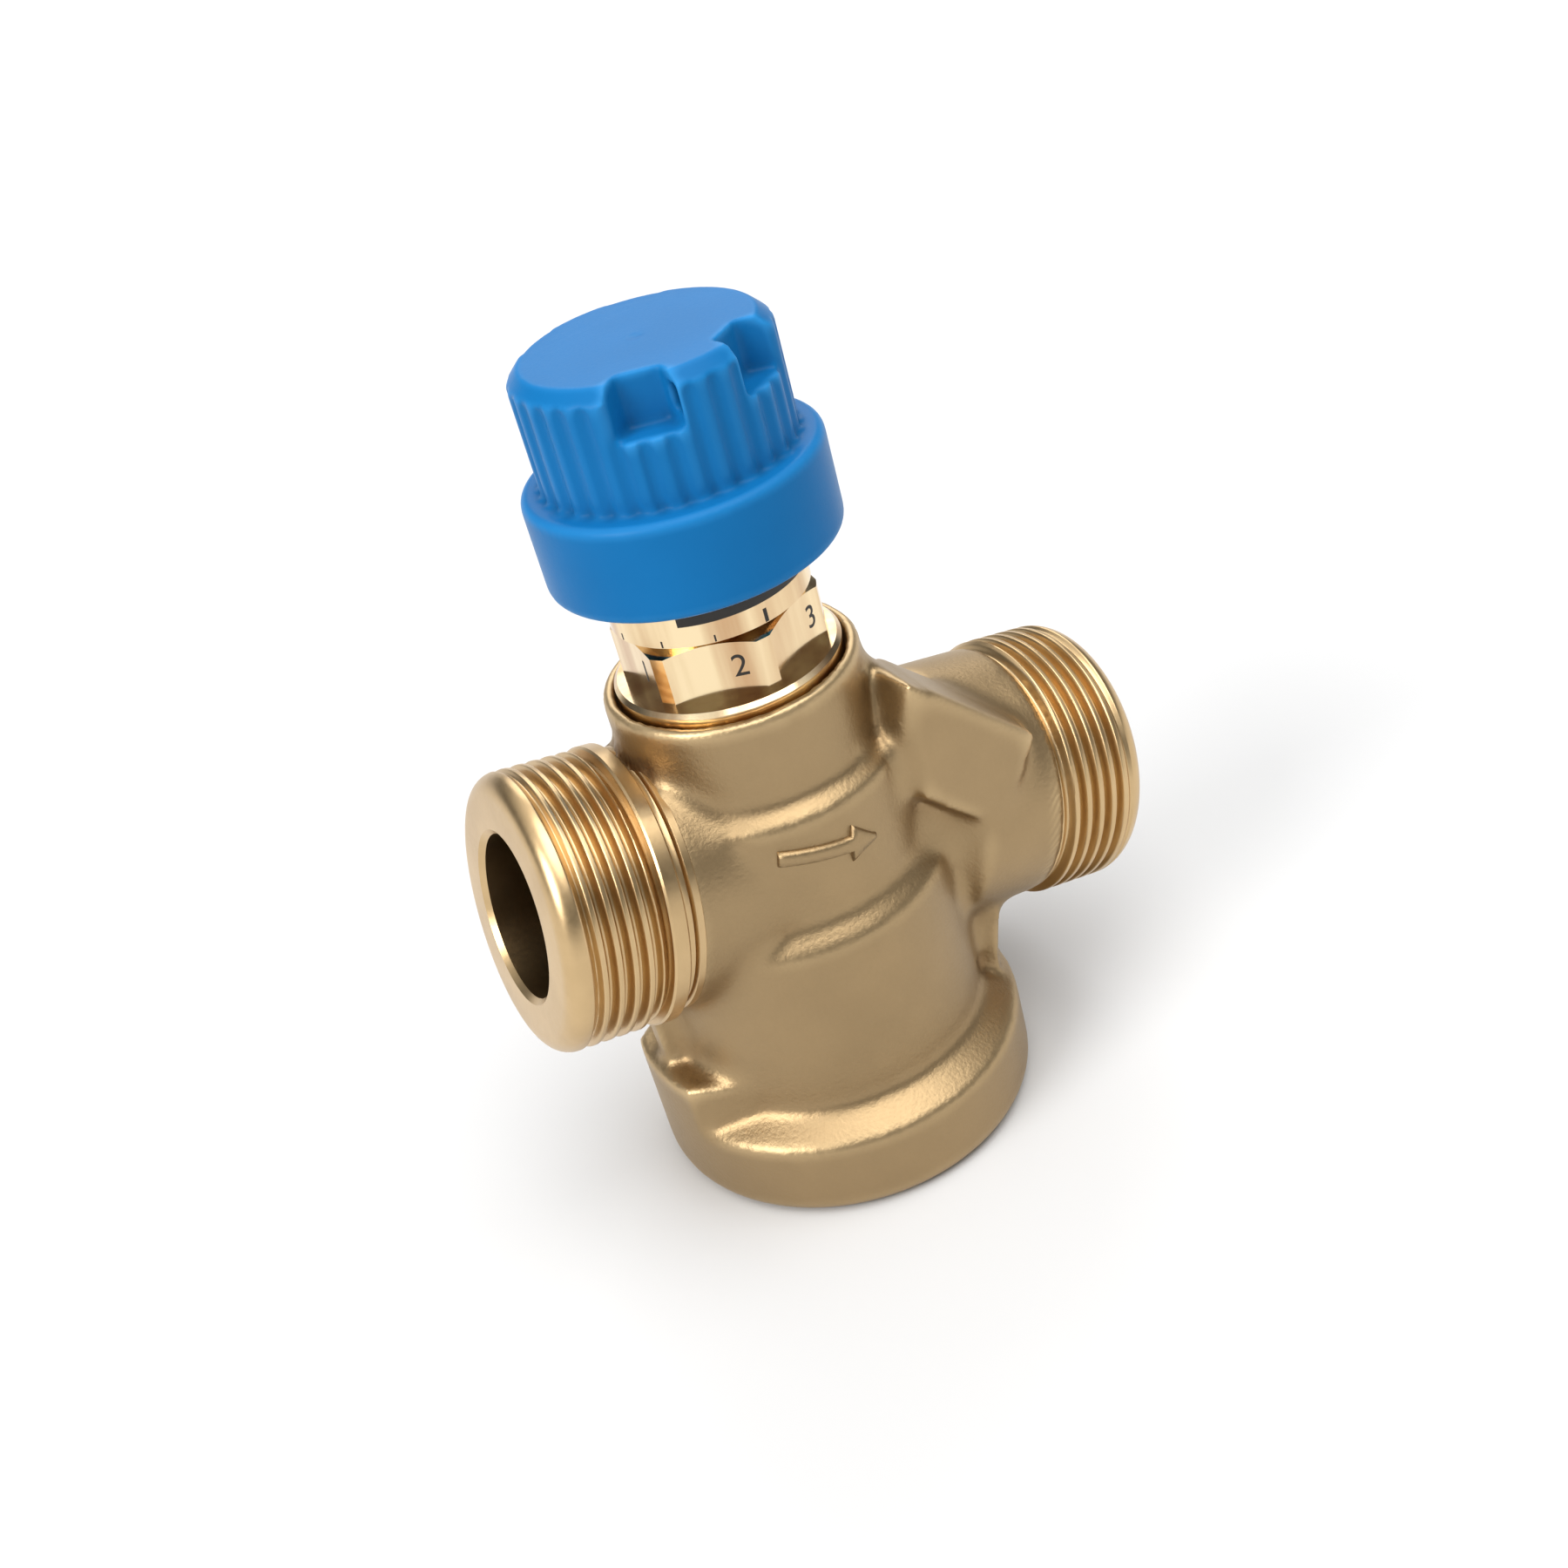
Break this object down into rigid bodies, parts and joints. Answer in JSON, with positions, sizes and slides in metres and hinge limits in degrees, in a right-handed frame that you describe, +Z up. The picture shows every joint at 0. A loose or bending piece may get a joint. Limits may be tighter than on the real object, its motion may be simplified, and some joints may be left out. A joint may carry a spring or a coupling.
{
  "type": "pressure independent control valve",
  "caption": "Forged brass pressure independent control valve with threaded pipe ends, diaphragm regulator below, spindle bonnet above and a screw-down plastic hand cap.",
  "frame": {"origin": "on the stem axis in the plane of the flat base ring", "axes": "+Z up along the stem, +X down the flow from inlet to outlet, the front is -Y"},
  "size_m": [0.1029, 0.061, 0.1315],
  "materials": {
    "forged_brass": "hot forged and blasted, matte",
    "polished_brass": "turned and polished",
    "turned_brass": "turned",
    "blue_plastic": "moulded, satin",
    "steel": "turned stainless steel",
    "spring_steel": "drawn wire",
    "black_rubber": "moulded"
  },
  "bodies": {
    "housing": {"valve_body": "forged_brass", "bottom_cover": "turned_brass", "cover_o_ring": "black_rubber", "diaphragm_clamp_ring": "steel", "diaphragm": "black_rubber", "main_spring": "spring_steel", "regulator_seat": "steel", "control_seat": "steel", "return_spring": "spring_steel", "bonnet": "polished_brass", "bonnet_o_ring": "black_rubber", "gland_nut": "turned_brass", "gland_o_ring": "black_rubber"},
    "regulator": {"diaphragm_plate": "steel", "regulator_plug": "steel", "spring_cup": "steel", "diaphragm_nut": "steel"},
    "stem": {"spindle": "steel", "control_cone": "turned_brass", "cone_gasket": "black_rubber", "cone_nut": "steel", "spindle_clip": "spring_steel"},
    "scale": {"setting_ring": "polished_brass"},
    "cap": {"hand_cap": "blue_plastic"}
  },
  "joints": [
    {"name": "regulator_stroke", "type": "slide", "parent": "housing", "child": "regulator", "axis": [0, 0, 1], "range_m": [-0.0041, 0], "stiffness_N_per_m": 4000, "springref_m": 0.003, "deforming": ["main_spring", "diaphragm"]},
    {"name": "stem_stroke", "type": "slide", "parent": "housing", "child": "stem", "axis": [0, 0, 1], "range_m": [-0.0041, 0], "deforming": ["return_spring"]},
    {"name": "cap_turn", "type": "hinge", "parent": "stem", "child": "cap", "pos_m": [0, 0, 0.12], "axis": [0, 0, 1], "range_deg": [-990, 0]},
    {"name": "scale_turn", "type": "hinge", "parent": "housing", "child": "scale", "pos_m": [0, 0, 0.096], "axis": [0, 0, 1], "range_deg": [0, 300]}
  ],
  "couplings": [
    {"joint": "cap_turn", "follows": "stem_stroke", "rad_per_m": 4188.8}
  ]
}
